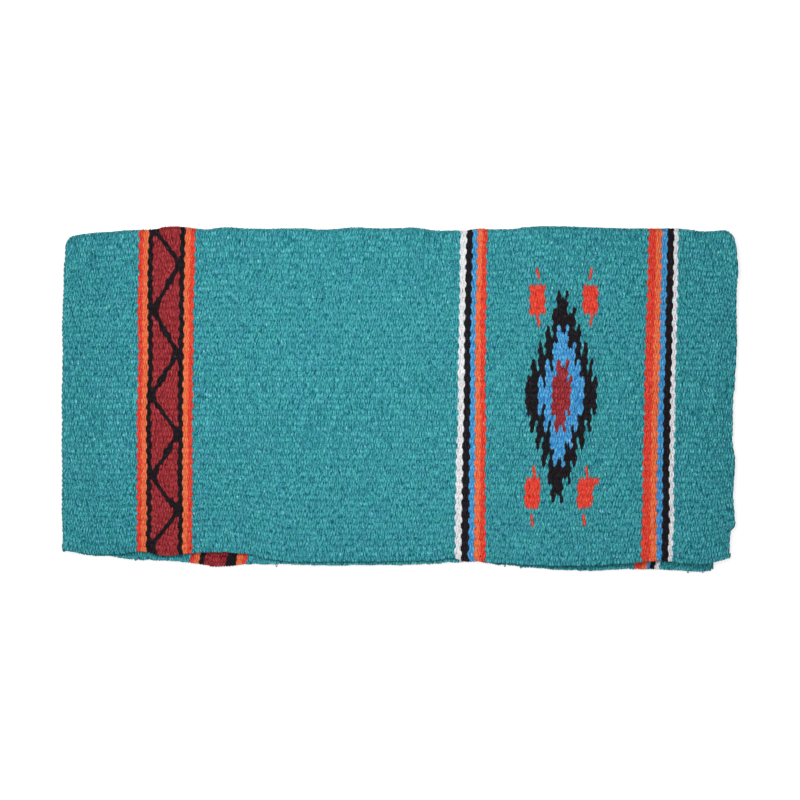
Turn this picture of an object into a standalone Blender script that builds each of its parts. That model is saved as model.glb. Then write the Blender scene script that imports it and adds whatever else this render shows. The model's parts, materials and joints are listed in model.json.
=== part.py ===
"""Woven saddle blanket, folded in quarters.

The blanket is one weft-faced tapestry cloth of about 0.83 m by 1.64 m. It is folded
across its length first, at the left edge here, and then across its width, at the far
edge, so four layers lie on each other. Each colour's weft is a piece of its own, threaded
on a hidden sheet of warps, and the motifs reach through slots between the warps.
X runs along the warps, from the first fold to the woven ends. Y runs along the wefts,
towards the second fold. Z is up, and the blanket rests on Z = 0.
The upper two layers lift at the second fold, as one body.
"""

import math

import bmesh
import bpy
from mathutils import Matrix, Vector

# The folded blanket, in metres
folded_length = 0.830
folded_width = 0.418
cloth_thickness = 0.0050
clearance = 0.0003
weft_lean = 0.005

# How far each layer ends inside the second one's selvedge, and the inner half's short end
top_selvedge_step = 0.009
third_selvedge_step = 0.006
bottom_selvedge_step = 0.003
inner_end_step = 0.021

# Corners in plan, where the cloth turns round the second fold
fold_corner_length = 0.018
end_corner_length = 0.010

# Warps inside the cloth
warp_thickness = 0.0016
selvedge_wall = 0.0014
slot_length = 0.0080
slot_width = 0.0034
zigzag_slot_length = 0.0030

# Colour areas of the outer half, from the first fold to the woven end
fold_field_length = 0.0920
band_red_width = 0.0055
band_orange_width = 0.0067
band_black_width = 0.0054
band_maroon_width = 0.0348
mid_field_length = 0.3262
middle_white_width = 0.0075
middle_black_width = 0.0077
middle_blue_width = 0.0063
middle_orange_width = 0.0067
middle_red_width = 0.0062
diamond_field_length = 0.1958
end_red_width = 0.0098
end_orange_width = 0.0077
end_blue_width = 0.0069
end_black_width = 0.0083
end_white_width = 0.0058

# Fields of the inner half, whose bands and stripes are the same
inner_fold_field_length = 0.1586
inner_mid_field_length = 0.2650
inner_diamond_field_length = 0.1800

# Zigzag line in the maroon band
zigzag_turns = 8
zigzag_width = 0.0062
zigzag_edge = 0.0014

# Diamond of nested serrated shapes, with a tine to each pair of picks
diamond_from_stripe = 0.0929
diamond_core_half_width = 0.0068
tine_width = 0.0077
tine_step = 0.0213
tine_tip = 0.0080
black_side_tines = 5
blue_side_tines = 3
maroon_side_tines = 1

# Four small motifs round the diamond
motif_offset_x = 0.0330
motif_offset_y = 0.1185
motif_half_width = 0.0095
motif_half_length = 0.0205
motif_tine_half_width = 0.0024
motif_tine_length = 0.0170
motif_tip = 0.0050

# Facets of a half turn
fold_facets = 8

# The four layers, from the floor up
bottom_layer, third_layer, second_layer, top_layer = range(4)

# Wool colours, as linear red, green and blue, and one roughness
wool_colours = {
    "teal": (0.042, 0.275, 0.320),
    "red": (0.640, 0.060, 0.040),
    "orange": (0.720, 0.150, 0.050),
    "black": (0.012, 0.012, 0.015),
    "maroon": (0.250, 0.025, 0.035),
    "blue": (0.060, 0.300, 0.580),
    "white": (0.720, 0.700, 0.730),
    "warp": (0.480, 0.440, 0.370),
}
wool_roughness = 0.95

# Sizes that follow
layer_pitch = cloth_thickness + clearance
stack_height = 4 * cloth_thickness + 3 * clearance
left_x = -folded_length / 2
second_selvedge_y = -folded_width / 2
top_selvedge_y = second_selvedge_y + top_selvedge_step
third_selvedge_y = second_selvedge_y + third_selvedge_step
bottom_selvedge_y = second_selvedge_y + bottom_selvedge_step
fold_axis_y = folded_width / 2 - stack_height / 2 - clearance / 2
fold_axis_z = stack_height / 2
panel_edge_y = fold_axis_y - clearance / 2
wrap_start_y = fold_axis_y + clearance / 2
middle_y = (panel_edge_y + top_selvedge_y) / 2
outer_end = folded_length - weft_lean / 2
inner_end = outer_end - inner_end_step
bend_outer_radius = cloth_thickness + clearance / 2
bend_inner_radius = clearance / 2
warp_cover = (cloth_thickness - warp_thickness) / 2

band_parts = [
    ("band_inner_red", band_red_width, "red"),
    ("band_inner_orange", band_orange_width, "orange"),
    ("band_inner_black", band_black_width, "black"),
    ("band_maroon", band_maroon_width, "maroon"),
    ("band_outer_black", band_black_width, "black"),
    ("band_outer_orange", band_orange_width, "orange"),
    ("band_outer_red", band_red_width, "red"),
]
middle_parts = [
    ("middle_stripe_white", middle_white_width, "white"),
    ("middle_stripe_black", middle_black_width, "black"),
    ("middle_stripe_blue", middle_blue_width, "blue"),
    ("middle_stripe_orange", middle_orange_width, "orange"),
    ("middle_stripe_red", middle_red_width, "red"),
]
end_parts = [
    ("end_stripe_red", end_red_width, "red"),
    ("end_stripe_orange", end_orange_width, "orange"),
    ("end_stripe_blue", end_blue_width, "blue"),
    ("end_stripe_black", end_black_width, "black"),
    ("end_stripe_white", end_white_width, "white"),
]


def total_width(parts):
    """The width of several stripes side by side."""
    return sum(width for _, width, _ in parts)


def grouped_parts(fold_field, mid_field, diamond_field):
    """The colour areas of one half with each set of stripes as one, from the first fold."""
    return [
        ("fold_field", fold_field, "teal"),
        ("band", total_width(band_parts), "maroon"),
        ("mid_field", mid_field, "teal"),
        ("middle_stripes", total_width(middle_parts), "red"),
        ("diamond_field", diamond_field, "teal"),
        ("end_stripes", total_width(end_parts), "red"),
    ]


outer_groups = grouped_parts(fold_field_length, mid_field_length, diamond_field_length)
inner_groups = grouped_parts(
    inner_fold_field_length, inner_mid_field_length, inner_diamond_field_length
)
outer_parts = [
    outer_groups[0],
    *band_parts,
    outer_groups[2],
    *middle_parts,
    outer_groups[4],
    *end_parts,
]


def with_spans(parts, end):
    """Each area with its two distances from the first fold; what is left is the end field."""
    spans = []
    reached = 0
    for name, width, colour in parts:
        spans.append((name, reached, reached + width, colour))
        reached += width
    spans.append(("end_field", reached, end, "teal"))
    return spans


def start_of(name, spans):
    """How far from the first fold an area begins."""
    return next(start for area, start, _, _ in spans if area == name)


def weft_x(distance, y):
    """X of a weft at a distance from the first fold. The wefts lean to the left as they come near."""
    return left_x + distance + weft_lean * (y - middle_y) / (panel_edge_y - top_selvedge_y)


# Materials and objects


def wool(colour):
    """The matt wool of one colour, made once."""
    found = bpy.data.materials.get("wool_" + colour)
    if found:
        return found
    material = bpy.data.materials.new("wool_" + colour)
    material.use_nodes = True
    shader = material.node_tree.nodes["Principled BSDF"]
    shader.inputs["Base Color"].default_value = (*wool_colours[colour], 1)
    shader.inputs["Roughness"].default_value = wool_roughness
    shader.inputs["Metallic"].default_value = 0
    material.diffuse_color = (*wool_colours[colour], 1)
    return material


def add_object(name, mesh_data, colour, parent):
    """An object with its faces turned outwards, on its parent."""
    bmesh.ops.recalc_face_normals(mesh_data, faces=mesh_data.faces)
    mesh = bpy.data.meshes.new(name)
    mesh_data.to_mesh(mesh)
    mesh_data.free()
    piece = bpy.data.objects.new(name, mesh)
    bpy.context.collection.objects.link(piece)
    if colour:
        mesh.materials.append(wool(colour))
    else:
        piece.hide_render = True
        piece.display_type = "WIRE"
    piece.parent = parent
    if parent:
        piece.matrix_parent_inverse = parent.matrix_world.inverted()
    return piece


def swept_slab(name, sections, colour, parent):
    """A closed body through a row of four-cornered sections."""
    mesh_data = bmesh.new()
    rings = [[mesh_data.verts.new(corner) for corner in section] for section in sections]
    for before, after in zip(rings, rings[1:]):
        for j in range(4):
            k = (j + 1) % 4
            mesh_data.faces.new((before[j], before[k], after[k], after[j]))
    mesh_data.faces.new(rings[0])
    mesh_data.faces.new(rings[-1][::-1])
    return add_object(name, mesh_data, colour, parent)


def prism(name, outline, low_z, high_z, colour, parent):
    """A closed body of one plan outline between two heights."""
    mesh_data = bmesh.new()
    base = mesh_data.faces.new([mesh_data.verts.new((x, y, low_z)) for x, y in outline])
    grown = bmesh.ops.extrude_face_region(mesh_data, geom=[base])
    top = [v for v in grown["geom"] if isinstance(v, bmesh.types.BMVert)]
    bmesh.ops.translate(mesh_data, verts=top, vec=(0, 0, high_z - low_z))
    return add_object(name, mesh_data, colour, parent)


def cut(piece, cutter):
    """Takes a cutter out of a piece."""
    change = piece.modifiers.new(cutter.name, "BOOLEAN")
    change.operation = "DIFFERENCE"
    change.object = cutter


# Layers and folds


def layer_heights(layer):
    """The heights of a layer's underside and upper side."""
    return layer * layer_pitch, layer * layer_pitch + cloth_thickness


def flat_section(distance, low_y, high_y, layer):
    """The cloth's four corners at one weft of a flat layer."""
    low_z, high_z = layer_heights(layer)
    near, far = weft_x(distance, low_y), weft_x(distance, high_y)
    return [(near, low_y, high_z), (far, high_y, high_z), (far, high_y, low_z), (near, low_y, low_z)]


def flat_area(name, start, end, selvedge_y, layer, colour, parent):
    """One colour's weft on one layer, a clearance short of its neighbours."""
    return swept_slab(
        name,
        [
            flat_section(start + clearance / 2, selvedge_y, panel_edge_y, layer),
            flat_section(end - clearance / 2, selvedge_y, panel_edge_y, layer),
        ],
        colour,
        parent,
    )


def bent_sections(radii, outer_reach, inner_reach, outer_low_y, inner_low_y, high_y, centre_z, side):
    """Sections of cloth that goes round the first fold, from the outer half to the inner one.

    radii are those of its outside and inside, and side is 1 where the outer half is above."""
    centre_x = left_x + bend_outer_radius

    def section(low_x, high_x, angle, low_y):
        outside, inside = radii
        return [
            (x - radius * math.sin(angle), y, centre_z + side * radius * math.cos(angle))
            for radius, y, x in (
                (outside, low_y, low_x),
                (outside, high_y, high_x),
                (inside, high_y, high_x),
                (inside, low_y, low_x),
            )
        ]

    sections = [
        section(weft_x(outer_reach, outer_low_y), weft_x(outer_reach, high_y), 0, outer_low_y)
    ]
    for step in range(fold_facets + 1):
        share = step / fold_facets
        low_y = outer_low_y + (inner_low_y - outer_low_y) * share
        sections.append(section(centre_x, centre_x, math.pi * share, low_y))
    sections.append(
        section(weft_x(inner_reach, inner_low_y), weft_x(inner_reach, high_y), math.pi, inner_low_y)
    )
    return sections


def fold_field(name, outer_low_y, inner_low_y, centre_z, side, parent):
    """The plain cloth round the first fold, with a stretch of each half."""
    sections = bent_sections(
        (bend_outer_radius, bend_inner_radius),
        fold_field_length - clearance / 2,
        inner_fold_field_length - clearance / 2,
        outer_low_y,
        inner_low_y,
        panel_edge_y,
        centre_z,
        side,
    )
    return swept_slab(name, sections, "teal", parent)


def warp_sheet(name, room, colour, outer_low_y, inner_low_y, centre_z, side, parent):
    """The warps of two layers, round the first fold. With room, it is the space that they lie in."""
    inset = selvedge_wall + clearance - room
    sections = bent_sections(
        (bend_outer_radius - warp_cover + room, bend_inner_radius + warp_cover - room),
        outer_end - inset,
        inner_end - inset,
        outer_low_y + inset,
        inner_low_y + inset,
        panel_edge_y - inset,
        centre_z,
        side,
    )
    return swept_slab(name, sections, colour, parent)


def wrap_sections(outer_radius, inner_radius, low_x, high_x):
    """Sections of cloth round the second fold. low_x and high_x give X for a reach past the fold."""
    sections = []
    for step in range(fold_facets + 1):
        angle = math.pi * (step / fold_facets - 1 / 2)
        corners = []
        for radius, edge in (
            (outer_radius, low_x),
            (outer_radius, high_x),
            (inner_radius, high_x),
            (inner_radius, low_x),
        ):
            reach = radius * math.cos(angle)
            height = fold_axis_z + radius * math.sin(angle)
            corners.append((edge(reach), wrap_start_y + reach, height))
        sections.append(corners)
    return sections


def rounded_inset(length, reach):
    """How far a rounded corner of this length draws in at a reach past the second fold."""
    share = min(reach / (stack_height / 2), 1)
    return length * (1 - math.sqrt(1 - share * share))


# Outlines of the woven figures


def serrated_side(edges, heights, tip, grow):
    """Half of a serrated outline's upper side, from its right end to the middle.

    edges are the tines' outer distances from the middle line, starting with the middle
    tine's, and heights their tips. grow moves the whole outline outwards by that much."""
    points = [(edges[-1] + grow, 0)]
    for i in range(len(edges) - 1, 0, -1):
        half = (edges[i] - edges[i - 1]) / 2
        slope = tip / half
        lift = grow * math.hypot(1, slope)
        shoulder = heights[i] - tip + lift
        points.append((edges[i] + grow, shoulder - grow * slope))
        points.append((edges[i] - half, heights[i] + lift))
        points.append((edges[i - 1] + grow, shoulder + grow * slope))
    return points


def serrated_outline(edges, heights, tip, grow, forked):
    """A closed outline, alike on its four quarters. A forked middle tine ends in two tips."""
    quarter = serrated_side(edges, heights, tip, grow)
    half = edges[0] / 2 if forked else edges[0]
    slope = tip / half
    lift = grow * math.hypot(1, slope)
    shoulder = heights[0] - tip + lift
    quarter.append((edges[0] + grow, shoulder - grow * slope))
    if forked:
        quarter.append((half, heights[0] + lift))
        middle = [(0, shoulder)]
    else:
        middle = [(0, heights[0] + lift)]
    upper = quarter[1:] + middle + [(-x, y) for x, y in reversed(quarter[1:])]
    return upper + [(x, -y) for x, y in reversed(upper)]


def diamond_reach(side_tines, tine=0):
    """How far from the diamond's middle a tine reaches, in a shape with this many side tines."""
    return (side_tines + 1 - tine) * tine_step


def diamond_outline(side_tines, grow=0):
    """The outline of one of the diamond's nested shapes."""
    tines = range(side_tines + 1)
    edges = [diamond_core_half_width + tine * tine_width for tine in tines]
    heights = [diamond_reach(side_tines, tine) for tine in tines]
    return serrated_outline(edges, heights, tine_tip, grow, forked=True)


def motif_outline(grow=0):
    """The outline of a small motif: a body with a long tine at each end."""
    edges = [motif_tine_half_width, motif_half_width]
    heights = [motif_half_length + motif_tine_length, motif_half_length]
    return serrated_outline(edges, heights, motif_tip, grow, forked=False)


def zigzag_points():
    """The zigzag's turning points, as distances from the first fold and Y, from the far edge."""
    swing = band_maroon_width - 2 * zigzag_edge - zigzag_width
    left = maroon_start + zigzag_edge + zigzag_width / 2
    length = panel_edge_y - top_selvedge_y
    return [
        (left + swing * (i % 2), panel_edge_y - length * i / zigzag_turns)
        for i in range(zigzag_turns + 1)
    ]


def zigzag_slant():
    """How much wider along the warps the zigzag's legs are than square across."""
    (d0, y0), (d1, y1) = zigzag_points()[:2]
    return math.hypot(d1 - d0, y1 - y0) / abs(y1 - y0)


def zigzag_side(side, grow=0):
    """One side of the zigzag line, which has the same width along the warps everywhere."""
    half = zigzag_width / 2 + grow * zigzag_slant()
    return [(weft_x(d + side * half, y), y) for d, y in zigzag_points()]


def band_edge(distance):
    """A straight edge of the maroon band, from the far edge of the layer to the near one."""
    return [(weft_x(distance, y), y) for y in (panel_edge_y, top_selvedge_y)]


def placed(outline, distance, y):
    """A figure's outline on the cloth, with its middle at a distance from the first fold."""
    return [(weft_x(distance + u, y + v), y + v) for u, v in outline]


def figure_slots():
    """Where the figures' wefts pass between the warps: distance, Y and length of each slot."""
    turns = zigzag_points()
    places = [
        ((d0 + d1) / 2, (y0 + y1) / 2, zigzag_slot_length)
        for (d0, y0), (d1, y1) in zip(turns, turns[1:])
    ]
    places.append((diamond_distance, middle_y, slot_length))
    for outer, inner in ((black_side_tines, blue_side_tines), (blue_side_tines, maroon_side_tines)):
        reach = (diamond_reach(outer) + diamond_reach(inner)) / 2
        places += [(diamond_distance, middle_y + side * reach, slot_length) for side in (-1, 1)]
    places += [(distance, y, slot_length) for distance, y in motif_places().values()]
    return places


def motif_places():
    """The middles of the four small motifs."""
    return {
        f"motif_{row}_{column}": (
            diamond_distance + across * motif_offset_x,
            middle_y + along * motif_offset_y,
        )
        for row, along in (("far", 1), ("near", -1))
        for column, across in (("left", -1), ("right", 1))
    }


# Pieces


def hidden_cutter(name, outline):
    """A cutter of one plan outline that goes right through the top layer."""
    low_z, high_z = layer_heights(top_layer)
    return prism(name, outline, low_z - clearance / 2, high_z + clearance / 2, None, upper_half)


def figure(name, outline, colour):
    """A woven figure of the top layer, as thick as the cloth."""
    piece = prism(name, outline, *layer_heights(top_layer), colour, upper_half)
    cut(piece, upper_tunnel)
    return piece


def slot_boxes(name, room):
    """A box in each slot between the warps. With room, it is what the weft there fills."""
    mesh_data = bmesh.new()
    low_z, high_z = layer_heights(top_layer)
    for distance, y, length in figure_slots():
        size = (
            length + 2 * (clearance - room),
            slot_width + 2 * (clearance - room),
            high_z - low_z,
        )
        place = Vector((weft_x(distance, y), y, (low_z + high_z) / 2))
        bmesh.ops.create_cube(mesh_data, size=1, matrix=Matrix.LocRotScale(place, None, Vector(size)))
    return add_object(name, mesh_data, None, upper_half)


def lay(prefix, spans, selvedge_y, layer, tunnel, parent):
    """The flat colour areas of one layer, threaded on its warps."""
    pieces = {}
    for name, start, end, colour in spans[1:]:
        piece = flat_area(prefix + name, start, end, selvedge_y, layer, colour, parent)
        cut(piece, tunnel)
        pieces[name] = piece
    return pieces


def weave_figures(diamond_field):
    """The zigzag in its maroon band, and the nested diamond and four motifs in their field."""
    figure("top_zigzag", zigzag_side(1) + zigzag_side(-1)[::-1], "black")
    inner_edge = band_edge(maroon_start + clearance / 2)
    outer_edge = band_edge(maroon_start + band_maroon_width - clearance / 2)
    figure("top_band_maroon_inner", zigzag_side(-1, clearance) + inner_edge[::-1], "maroon")
    figure("top_band_maroon_outer", outer_edge + zigzag_side(1, clearance)[::-1], "maroon")

    surround = diamond_field
    for colour, tines in diamond_shapes:
        opening = placed(diamond_outline(tines, clearance), diamond_distance, middle_y)
        cut(surround, hidden_cutter(f"diamond_{colour}_opening", opening))
        outline = placed(diamond_outline(tines), diamond_distance, middle_y)
        surround = figure(f"top_diamond_{colour}", outline, colour)

    for name, place in motif_places().items():
        cut(diamond_field, hidden_cutter(f"{name}_opening", placed(motif_outline(clearance), *place)))
        figure(f"top_{name}", placed(motif_outline(), *place), "red")


def wrap(name, outer_radius, inner_radius, low_x, high_x, colour):
    """One colour's weft round the second fold."""
    sections = wrap_sections(outer_radius, inner_radius, low_x, high_x)
    return swept_slab(name, sections, colour, None)


def wrap_edge(distance, gap, corner_length=0):
    """The end of a wrap: X for a reach past the fold, drawn in at a rounded corner."""
    return lambda reach: weft_x(distance, panel_edge_y) + gap + rounded_inset(corner_length, reach)


def fold_wraps():
    """The outer half's colour areas round the second fold, and the inner half inside them."""
    outer_radius = stack_height / 2
    for name, start, end, colour in outer_group_spans:
        first, last = name == "fold_field", name == "end_field"
        low_x = wrap_edge(start, 0, fold_corner_length) if first else wrap_edge(start, clearance / 2)
        high_x = wrap_edge(end, 0, -end_corner_length) if last else wrap_edge(end, -clearance / 2)
        wrap("wrap_" + name, outer_radius, outer_radius - cloth_thickness, low_x, high_x, colour)
    wrap(
        "inner_wrap",
        bend_outer_radius,
        bend_inner_radius,
        wrap_edge(0, 0, fold_corner_length),
        wrap_edge(inner_end, 0, -end_corner_length),
        "teal",
    )


# The blanket

for old in list(bpy.data.objects):
    bpy.data.objects.remove(old)

outer_spans = with_spans(outer_parts, outer_end)
plain_spans = [span for span in outer_spans if span[0] != "band_maroon"]
outer_group_spans = with_spans(outer_groups, outer_end)
inner_group_spans = with_spans(inner_groups, inner_end)
maroon_start = start_of("band_maroon", outer_spans)
diamond_distance = start_of("diamond_field", outer_spans) + diamond_from_stripe
diamond_shapes = (
    ("black", black_side_tines),
    ("blue", blue_side_tines),
    ("maroon", maroon_side_tines),
)

upper_half = bpy.data.objects.new("upper_half", None)
upper_half.location = (0, fold_axis_y, fold_axis_z)
bpy.context.collection.objects.link(upper_half)
bpy.context.view_layer.update()

upper_fold = (top_selvedge_y, second_selvedge_y, fold_axis_z + layer_pitch, 1, upper_half)
lower_fold = (bottom_selvedge_y, third_selvedge_y, fold_axis_z - layer_pitch, -1, None)

upper_tunnel = warp_sheet("upper_tunnel", clearance, None, *upper_fold)
lower_tunnel = warp_sheet("lower_tunnel", clearance, None, *lower_fold)
upper_warps = warp_sheet("upper_warps", 0, "warp", *upper_fold)
warp_sheet("lower_warps", 0, "warp", *lower_fold)
cut(upper_tunnel, slot_boxes("figure_wefts_in_slots", clearance))
cut(upper_warps, slot_boxes("slots_between_warps", 0))

cut(fold_field("upper_fold_field", *upper_fold), upper_tunnel)
cut(fold_field("lower_fold_field", *lower_fold), lower_tunnel)
top_areas = lay("top_", plain_spans, top_selvedge_y, top_layer, upper_tunnel, upper_half)
weave_figures(top_areas["diamond_field"])
lay("second_", inner_group_spans, second_selvedge_y, second_layer, upper_tunnel, upper_half)
lay("third_", inner_group_spans, third_selvedge_y, third_layer, lower_tunnel, None)
lay("bottom_", outer_group_spans, bottom_selvedge_y, bottom_layer, lower_tunnel, None)
fold_wraps()
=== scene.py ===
"""A folded tapestry-woven saddle blanket.

Every weft float is its own dome of yarn, and the floats lie on a ribbed sheet of warps.
"""

import json
import math
from collections import defaultdict

import bpy
import numpy as np
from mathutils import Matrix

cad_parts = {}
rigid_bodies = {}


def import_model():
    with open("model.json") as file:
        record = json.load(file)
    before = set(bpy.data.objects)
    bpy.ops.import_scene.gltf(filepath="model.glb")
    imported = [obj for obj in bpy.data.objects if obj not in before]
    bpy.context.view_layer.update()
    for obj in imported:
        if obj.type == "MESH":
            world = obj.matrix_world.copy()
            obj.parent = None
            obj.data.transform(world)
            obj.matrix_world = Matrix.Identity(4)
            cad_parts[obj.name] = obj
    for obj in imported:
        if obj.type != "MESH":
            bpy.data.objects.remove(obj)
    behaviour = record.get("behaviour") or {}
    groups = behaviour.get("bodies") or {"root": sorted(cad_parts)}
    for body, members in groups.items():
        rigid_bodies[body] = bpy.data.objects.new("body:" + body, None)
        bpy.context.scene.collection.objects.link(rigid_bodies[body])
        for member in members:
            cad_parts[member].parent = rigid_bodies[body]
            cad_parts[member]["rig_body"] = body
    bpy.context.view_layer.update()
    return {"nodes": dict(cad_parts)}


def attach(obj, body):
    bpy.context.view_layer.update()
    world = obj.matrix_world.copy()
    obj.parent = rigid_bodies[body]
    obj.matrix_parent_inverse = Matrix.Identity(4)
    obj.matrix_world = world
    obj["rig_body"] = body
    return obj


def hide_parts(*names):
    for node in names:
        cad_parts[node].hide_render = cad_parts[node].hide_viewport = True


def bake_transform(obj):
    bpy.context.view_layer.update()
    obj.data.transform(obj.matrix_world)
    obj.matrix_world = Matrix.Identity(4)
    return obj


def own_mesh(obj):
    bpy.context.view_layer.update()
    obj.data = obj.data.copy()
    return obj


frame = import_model()

# Sizes shared with the CAD, in metres
LEFT_X = -0.415
AXIS_Y = 0.1984
AXIS_Z = 0.01045
OUTER_RADIUS = 0.00795
INNER_RADIUS = 0.00265
STACK_HEIGHT = 0.0209
LAYER_HALF = 0.0025
RIGHT_X = 0.4125
FIRST_FOLD_CENTRE = LEFT_X + INNER_RADIUS + LAYER_HALF

# The weave: warps run along x, wefts along y
ROW = 0.006885
PITCH = 0.00171
STRIPE_PITCH = 0.00148
WAVE = 0.00128
YARN_RISE = 0.00122
SELVEDGE_REACH = WAVE + YARN_RISE
OUTER_BEND_ROWS = 4
INNER_BEND_ROWS = 2
# Heights between which the second fold goes over from the lower layers' form to the upper's
BEND_BLEND_Z = (0.004, 0.0169)
ROWS = {"top": 57, "bottom": 58, "second": 58, "third": 57}
# The layer on each side of the second fold, for the outer half, 0, and the inner half, 1
LAYERS = {("upper", 0): "top", ("upper", 1): "second", ("lower", 0): "bottom", ("lower", 1): "third"}
FIRST_FOLD_PICKS = 8
# A narrow area is a stripe, with finer picks
STRIPE_LENGTH = 0.012

# Each colour area ends this far from the first fold, in metres
OUTER_AREAS = [
    ("fold_field", "teal", 0.0920),
    ("band_inner_red", "red", 0.0975),
    ("band_inner_orange", "orange", 0.1042),
    ("band_inner_black", "black", 0.1100),
    ("band_maroon", "maroon", 0.1439),
    ("band_outer_black", "black", 0.1498),
    ("band_outer_orange", "orange", 0.1565),
    ("band_outer_red", "red", 0.1620),
    ("mid_field", "teal", 0.4882),
    ("middle_stripe_white", "white", 0.4957),
    ("middle_stripe_black", "black", 0.5034),
    ("middle_stripe_blue", "blue", 0.5097),
    ("middle_stripe_orange", "orange", 0.5164),
    ("middle_stripe_red", "red", 0.5226),
    ("diamond_field", "teal", 0.7184),
    ("end_stripe_red", "red", 0.7282),
    ("end_stripe_orange", "orange", 0.7359),
    ("end_stripe_blue", "blue", 0.7428),
    ("end_stripe_black", "black", 0.7511),
    ("end_stripe_white", "white", 0.7569),
    ("end_field", "teal", 0.8275),
]
# Where the inner half's areas start, if not straight after the area before
INNER_STARTS = {
    "band_inner_red": 0.1586,
    "mid_field": 0.2286,
    "middle_stripe_white": 0.4936,
    "diamond_field": 0.5280,
    "end_stripe_red": 0.7098,
    "end_stripe_orange": 0.7185,
    "end_stripe_blue": 0.7245,
    "end_stripe_black": 0.7281,
    "end_stripe_white": 0.7336,
    "end_field": 0.7410,
}
INNER_END = 0.8065
COLOURS = ["teal", "red", "orange", "black", "maroon", "blue", "white"]

# Where the blanket's edges lie, in millimetres: x, then y
FAR_EDGE = [
    (-415, 189.6), (-409, 196.7), (-401, 199.6), (-388, 201.4), (-368, 203.4), (-343, 205),
    (-321, 206.3), (-301, 207.3), (-294, 209.2), (-282, 210.4), (-269, 209.9), (-257, 208.6),
    (-238, 207.3), (-220, 208.6), (-183, 207.3), (-140, 207.8), (-97, 206.7), (-47, 208.6),
    (-23, 207.8), (20, 208.3), (41, 205.4), (76, 206), (101, 207.3), (113, 206), (138, 208.4),
    (175, 209.9), (224, 210.5), (249, 209.2), (304, 207.5), (360, 206.7), (372, 204.8),
    (384, 204.9), (399, 206), (414, 205.6),
]
TOP_NEAR_EDGE = [
    (-415, -187.6), (-404, -189.4), (-392, -191.2), (-347, -192.4), (-331, -189.9), (-319, -189.3),
    (-306, -191.1), (-291, -194.6), (-274, -194.2), (-264, -192.6), (-187, -192.5), (-164, -197.3),
    (-146, -200.4), (-121, -201.6), (-23, -201.6), (51, -200.1), (70, -197.9), (82, -201),
    (101, -202.2), (113, -202.8), (150, -204.4), (175, -205.9), (261, -205.3), (286, -204.3),
    (304, -202), (337, -201.6), (360, -204.1), (372, -204.7), (387, -202.8), (406, -199.1), (414, -198),
]
SECOND_NEAR_EDGE = [
    (-415, -188.2), (-405, -190), (-395, -191.8), (-385, -193.6), (-368, -195.4), (-345, -197),
    (-326, -199.1), (-294, -201), (-263, -202.8), (-245, -205.1), (-226, -208.6), (-208, -208.1),
    (-195, -206.5), (-183, -205.8), (-121, -205.7), (-84, -207.2), (-23, -206.2), (51, -204.8),
    (70, -203.6), (88, -202.2), (101, -202.8), (113, -204.1), (125, -205.8), (150, -207.8),
    (175, -210.6), (199, -212.7), (249, -213.1), (298, -211.9), (323, -212.7), (347, -213.5),
    (372, -215.0), (388, -213.6),
]
# How much further out the yarn lies for the camera to see the edges there
FAR_SHOW = 0.0021
NEAR_SHOW = 0.0013
CORNER_RADIUS = 0.0175
# How far in the cloth follows its edges: ranges of y, and of -y on the near side
FAR_REACH = (0.060, 0.170)
NEAR_REACH = (0.050, 0.188)
# How far the hidden layers stay inside the second layer's near edge, and more so at its right end
BOTTOM_INSET = 0.0030
THIRD_INSET = 0.0050
END_INSET = 0.009
END_INSET_X = (0.3855, 0.3915)

# How far the stripes lean: distance from the first fold, then the shift in x far, midway and near
LEANS = [
    (0.0, 0.0014, -0.0014, -0.0004),
    (0.0920, 0.0028, 0.0008, 0.0002),
    (0.1620, 0.0026, -0.0009, -0.0014),
    (0.4882, 0.0035, 0.0, -0.0036),
    (0.5226, 0.0021, 0.0, -0.0006),
    (0.5735, -0.0013, -0.0022, -0.0127),
    (0.6575, -0.0013, -0.0022, -0.0127),
    (0.7184, 0.0056, 0.0004, -0.0034),
    (0.7569, 0.0035, -0.0002, -0.0042),
    (0.8275, 0.0052, 0.0024, 0.0008),
]
LEAN_HALF_WIDTH = 0.19
LOWER_LEAN_SHARE = 0.5
INNER_LEAN_LOSS = 0.6
INNER_LEAN_X = (-0.40, -0.35)
# The first fold's two corners: how far they come in at the far edge and stand out at the near one
FOLD_EDGE_X = (-0.412, -0.396)
FOLD_FAR_CORNER = 0.0012
FOLD_FAR_CORNER_Y = (0.176, 0.190)
FOLD_NEAR_CORNER = 0.0014
FOLD_NEAR_CORNER_Y = -0.2005
FOLD_NEAR_CORNER_SIZE = 0.005

# How the woven end wanders, in millimetres: y, then the shift in x
END_WANDER = [
    (-210, -0.8), (-190, -1.0), (-175, -0.4), (-166, 0), (-159, 1.0), (-124, -1.2), (-72, 0.8),
    (-57, -1.8), (-34, -1.2), (-3, -2.2), (20, 0), (46, 1.0), (105, 1.2), (150, 0.2), (184, 0.2),
    (188, -0.3), (192, -0.7), (196, -0.8), (199, -1.2), (210, -1.0),
]
END_X = (0.398, 0.4125)
# Soft forms of the cloth: how far each moves it, then the ranges of x and of -y over which it sets in.
# The first two draw in the ends' near corners, and the others change the upper layers' height.
NEAR_CORNER = (0.0042, END_X, (0.160, 0.168))
INNER_NEAR_CORNER = (0.0018, (0.360, 0.388), (0.10, 0.16))
SAG = (0.0040, (0.388, 0.4125), (-0.185, -0.095))
CREASE = (0.0010, (0.3895, 0.3935), (0.150, 0.185))
LIFT = (0.0023, (0.06, 0.22), (0.170, 0.198))
# The inner half droops at its near edge, by the right and by the left, and ripples less than the outer
RIGHT_DROOP = 0.0038
RIGHT_DROOP_X = (0.03, 0.22)
LEFT_DROOP = 0.0022
LEFT_DROOP_X = (0.15, 0.25)
DROOP_Y = (0.180, 0.200)
RIPPLE_Y = (-0.17, -0.11)
INNER_RIPPLE_SHARE = 0.4

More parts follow.
